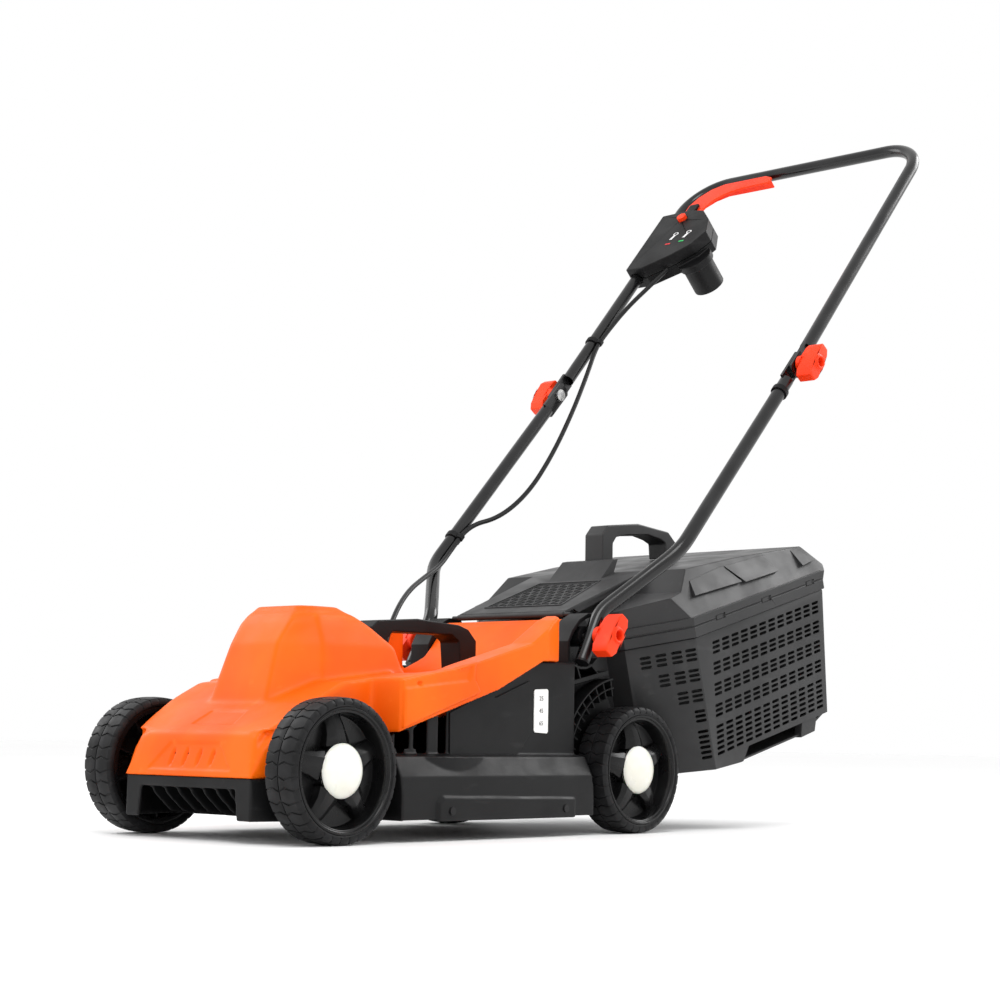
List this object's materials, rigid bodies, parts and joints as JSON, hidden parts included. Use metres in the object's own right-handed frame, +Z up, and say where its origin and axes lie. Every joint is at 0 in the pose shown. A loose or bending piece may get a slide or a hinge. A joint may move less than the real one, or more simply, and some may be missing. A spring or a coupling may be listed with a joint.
{
  "type": "push lawn mower",
  "caption": "Corded electric push lawn mower: moulded deck with motor dome, folding tubular handle with switch box, plastic wheels and a hard grass box on the rear.",
  "frame": {"origin": "on the ground, under the middle of the whole mower's box", "axes": "+Z up, +Y to the rear along the handle, +X to the mower's left side"},
  "size_m": [0.5164, 1.2674, 1.0515],
  "materials": {
    "orange": "satin",
    "red_orange": "satin",
    "black_plastic": "fine texture",
    "dark_plastic": "fine texture",
    "gloss_black": "gloss",
    "tyre_black": "moulded",
    "white_cap": "satin",
    "label_white": "print",
    "steel": "zinc plated",
    "motor_grey": "satin",
    "belt_rubber": "matte",
    "cable_black": "satin",
    "brass_pin": "bright"
  },
  "bodies": {
    "root": {"deck_shell": "black_plastic", "hood": "orange", "carry_handle": "black_plastic", "handle_bracket_left": "black_plastic", "handle_bracket_right": "black_plastic", "height_labels": "label_white", "deck_screws": "steel", "motor_can": "motor_grey", "bearings": "steel", "motor_magnets": "motor_grey", "drive_belt": "belt_rubber", "pivot_bolts_low": "steel", "cable_gland": "black_plastic", "cable_low": "cable_black"},
    "front_axle_set": {"front_axle": "steel", "front_axle_clips": "steel"},
    "rear_axle_set": {"rear_axle": "steel", "rear_axle_clips": "steel"},
    "motor_rotor": {"armature": "motor_grey", "motor_shaft": "steel", "motor_pulley": "steel"},
    "blade_spindle": {"blade_pulley": "motor_grey", "spindle": "steel", "blade_carrier": "black_plastic", "blade": "steel", "blade_bolt": "steel"},
    "lower_handle": {"lower_tube_left": "gloss_black", "lower_tube_right": "gloss_black", "tube_plugs": "black_plastic", "pivot_bolts_high": "steel", "clips_low": "black_plastic"},
    "upper_handle": {"upper_tube": "gloss_black", "switch_front": "black_plastic", "switch_back": "black_plastic", "inlet_shroud": "black_plastic", "inlet_pins": "brass_pin", "clip_high": "black_plastic", "cable_high": "cable_black"},
    "start_button": {"lock_button": "red_orange"},
    "switch_lever": {"bail_lever": "red_orange"},
    "discharge_flap": {"rear_flap": "dark_plastic"},
    "grass_box": {"box_base": "dark_plastic", "box_lid": "dark_plastic", "box_handle": "dark_plastic"},
    "wheel_front_left": {"tyre_front_left": "tyre_black", "rim_front_left": "black_plastic", "cap_front_left": "white_cap"},
    "wheel_front_right": {"tyre_front_right": "tyre_black", "rim_front_right": "black_plastic", "cap_front_right": "white_cap"},
    "wheel_rear_left": {"tyre_rear_left": "tyre_black", "rim_rear_left": "black_plastic", "cap_rear_left": "white_cap"},
    "wheel_rear_right": {"tyre_rear_right": "tyre_black", "rim_rear_right": "black_plastic", "cap_rear_right": "white_cap"},
    "low_knob_left": {"knob_low_left": "red_orange"},
    "low_knob_right": {"knob_low_right": "red_orange"},
    "high_knob_left": {"knob_high_left": "red_orange"},
    "high_knob_right": {"knob_high_right": "red_orange"}
  },
  "joints": [
    {"name": "front_height", "type": "slide", "parent": "root", "child": "front_axle_set", "axis": [0, 0, 1], "range_m": [-0.04, 0]},
    {"name": "rear_height", "type": "slide", "parent": "root", "child": "rear_axle_set", "axis": [0, 0, 1], "range_m": [-0.04, 0]},
    {"name": "front_left_wheel_spin", "type": "hinge", "parent": "front_axle_set", "child": "wheel_front_left", "pos_m": [0.15625, -0.55375, 0.08], "axis": [1, 0, 0], "continuous": true},
    {"name": "front_right_wheel_spin", "type": "hinge", "parent": "front_axle_set", "child": "wheel_front_right", "pos_m": [-0.15625, -0.55375, 0.08], "axis": [1, 0, 0], "continuous": true},
    {"name": "rear_left_wheel_spin", "type": "hinge", "parent": "rear_axle_set", "child": "wheel_rear_left", "pos_m": [0.15625, -0.03175, 0.08], "axis": [1, 0, 0], "continuous": true},
    {"name": "rear_right_wheel_spin", "type": "hinge", "parent": "rear_axle_set", "child": "wheel_rear_right", "pos_m": [-0.15625, -0.03175, 0.08], "axis": [1, 0, 0], "continuous": true},
    {"name": "motor_spin", "type": "hinge", "parent": "root", "child": "motor_rotor", "pos_m": [0, -0.45875, 0.17], "axis": [0, 0, 1], "continuous": true},
    {"name": "blade_spin", "type": "hinge", "parent": "root", "child": "blade_spindle", "pos_m": [0, -0.36375, 0.1], "axis": [0, 0, 1], "continuous": true},
    {"name": "lower_tilt", "type": "hinge", "parent": "root", "child": "lower_handle", "pos_m": [0, -0.09975, 0.247], "axis": [1, 0, 0], "range_deg": [0, 45], "deforming": ["cable_low"]},
    {"name": "upper_fold", "type": "hinge", "parent": "lower_handle", "child": "upper_handle", "pos_m": [0, 0.26325, 0.641], "axis": [1, 0, 0], "range_deg": [0, 140], "deforming": ["cable_high"]},
    {"name": "low_knob_left_turn", "type": "hinge", "parent": "root", "child": "low_knob_left", "pos_m": [0.17, -0.09975, 0.247], "axis": [1, 0, 0], "range_deg": [-180, 180]},
    {"name": "low_knob_right_turn", "type": "hinge", "parent": "root", "child": "low_knob_right", "pos_m": [-0.17, -0.09975, 0.247], "axis": [1, 0, 0], "range_deg": [-180, 180]},
    {"name": "high_knob_left_turn", "type": "hinge", "parent": "lower_handle", "child": "high_knob_left", "pos_m": [0.235, 0.26325, 0.641], "axis": [1, 0, 0], "range_deg": [-180, 180]},
    {"name": "high_knob_right_turn", "type": "hinge", "parent": "lower_handle", "child": "high_knob_right", "pos_m": [-0.235, 0.26325, 0.641], "axis": [1, 0, 0], "range_deg": [-180, 180]},
    {"name": "button_press", "type": "slide", "parent": "upper_handle", "child": "start_button", "axis": [0, 0.7432, -0.6691], "range_m": [0, 0.004], "stiffness_N_per_m": 600, "springref_m": -0.003},
    {"name": "lever_squeeze", "type": "hinge", "parent": "upper_handle", "child": "switch_lever", "pos_m": [-0.178, 0.56939, 0.98106], "axis": [0, -0.7432, 0.6691], "range_deg": [0, 3], "stiffness_Nm_per_rad": 4, "springref_deg": -17.19},
    {"name": "flap_lift", "type": "hinge", "parent": "root", "child": "discharge_flap", "pos_m": [0, -0.08675, 0.277], "axis": [1, 0, 0], "range_deg": [0, 65]},
    {"name": "box_unhook", "type": "slide", "parent": "root", "child": "grass_box", "axis": [0, 0.9646, 0.2639], "range_m": [0, 0.35]}
  ],
  "couplings": [
    {"joint": "blade_spin", "follows": "motor_spin", "ratio": 0.33333}
  ]
}
